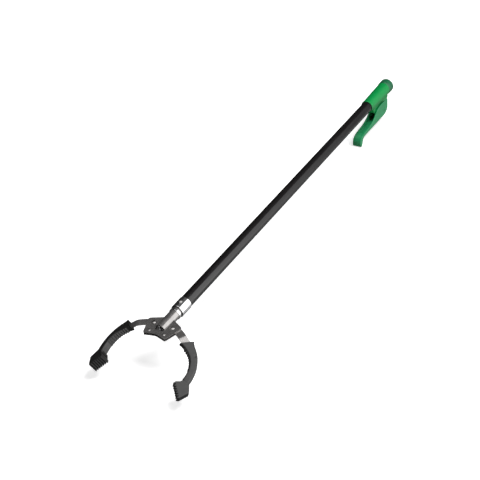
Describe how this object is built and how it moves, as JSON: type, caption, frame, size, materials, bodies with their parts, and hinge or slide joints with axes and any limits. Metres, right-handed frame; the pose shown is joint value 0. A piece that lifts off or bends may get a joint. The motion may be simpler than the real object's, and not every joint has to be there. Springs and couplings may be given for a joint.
{
  "type": "reacher grabber",
  "caption": "Hand-held reacher grabber: a squeeze lever under a moulded grip pulls a rod through a long tube and closes a pair of bent jaws in rubber boots.",
  "frame": {"origin": "middle of the small flat on the rounded end of the grip, on the axis of the tube", "axes": "+X runs along the tube towards the jaws, +Z is the side of the tube away from the squeeze lever, +Y completes the right-handed frame and the jaws open along it"},
  "size_m": [0.9341, 0.192, 0.0802],
  "materials": {
    "grip_plastic": "semi-gloss moulded green",
    "cap_plastic": "semi-gloss moulded dark green",
    "tube_paint": "satin black powder coat",
    "bright_plating": "bright plated",
    "head_steel": "dark satin plated steel",
    "hidden_steel": "zinc plated",
    "guide_nylon": "natural nylon",
    "boot_rubber": "matt black moulded rubber"
  },
  "bodies": {
    "frame": {"main_tube": "tube_paint", "grip_body": "grip_plastic", "grip_end_cap": "cap_plastic", "grip_screw": "hidden_steel", "trigger_pin": "grip_plastic", "trigger_pin_clip": "hidden_steel", "spring_seat": "guide_nylon", "mid_rod_guide": "guide_nylon", "front_rod_guide": "guide_nylon", "ferrule": "bright_plating", "ferrule_screw": "hidden_steel", "neck_collar": "bright_plating", "head_plate_top": "head_steel", "head_plate_bottom": "head_steel", "jaw_rivet_left": "bright_plating", "jaw_rivet_right": "bright_plating", "spacer_rivet_left": "bright_plating", "spacer_rivet_right": "bright_plating", "return_spring": "hidden_steel"},
    "squeeze_lever": {"trigger": "grip_plastic"},
    "rod_assembly": {"pull_rod": "hidden_steel", "rod_yoke": "hidden_steel", "yoke_pin": "hidden_steel", "crosshead": "hidden_steel", "crosshead_pin_left": "hidden_steel", "crosshead_pin_right": "hidden_steel", "spring_collar": "hidden_steel"},
    "jaw_left": {"jaw_arm_left": "head_steel", "jaw_boot_left": "boot_rubber"},
    "jaw_right": {"jaw_arm_right": "head_steel", "jaw_boot_right": "boot_rubber"}
  },
  "joints": [
    {"name": "trigger_squeeze", "type": "hinge", "parent": "frame", "child": "squeeze_lever", "pos_m": [0.037, 0, -0.037], "axis": [0, -1, 0], "range_deg": [0, 16.66]},
    {"name": "rod_slide", "type": "slide", "parent": "frame", "child": "rod_assembly", "axis": [-1, 0, 0], "range_m": [0, 0.0109], "deforming": ["return_spring"]},
    {"name": "jaw_left_swing", "type": "hinge", "parent": "frame", "child": "jaw_left", "pos_m": [0.838, -0.018, 0], "axis": [0, 0, 1], "range_deg": [0, 41.8]},
    {"name": "jaw_right_swing", "type": "hinge", "parent": "frame", "child": "jaw_right", "pos_m": [0.838, 0.018, 0], "axis": [0, 0, -1], "range_deg": [0, 41.8]}
  ],
  "couplings": [
    {"joint": "rod_slide", "follows": "trigger_squeeze", "m_per_rad": 0.03728},
    {"joint": "jaw_left_swing", "follows": "trigger_squeeze", "ratio": 2.507},
    {"joint": "jaw_right_swing", "follows": "trigger_squeeze", "ratio": 2.507}
  ]
}
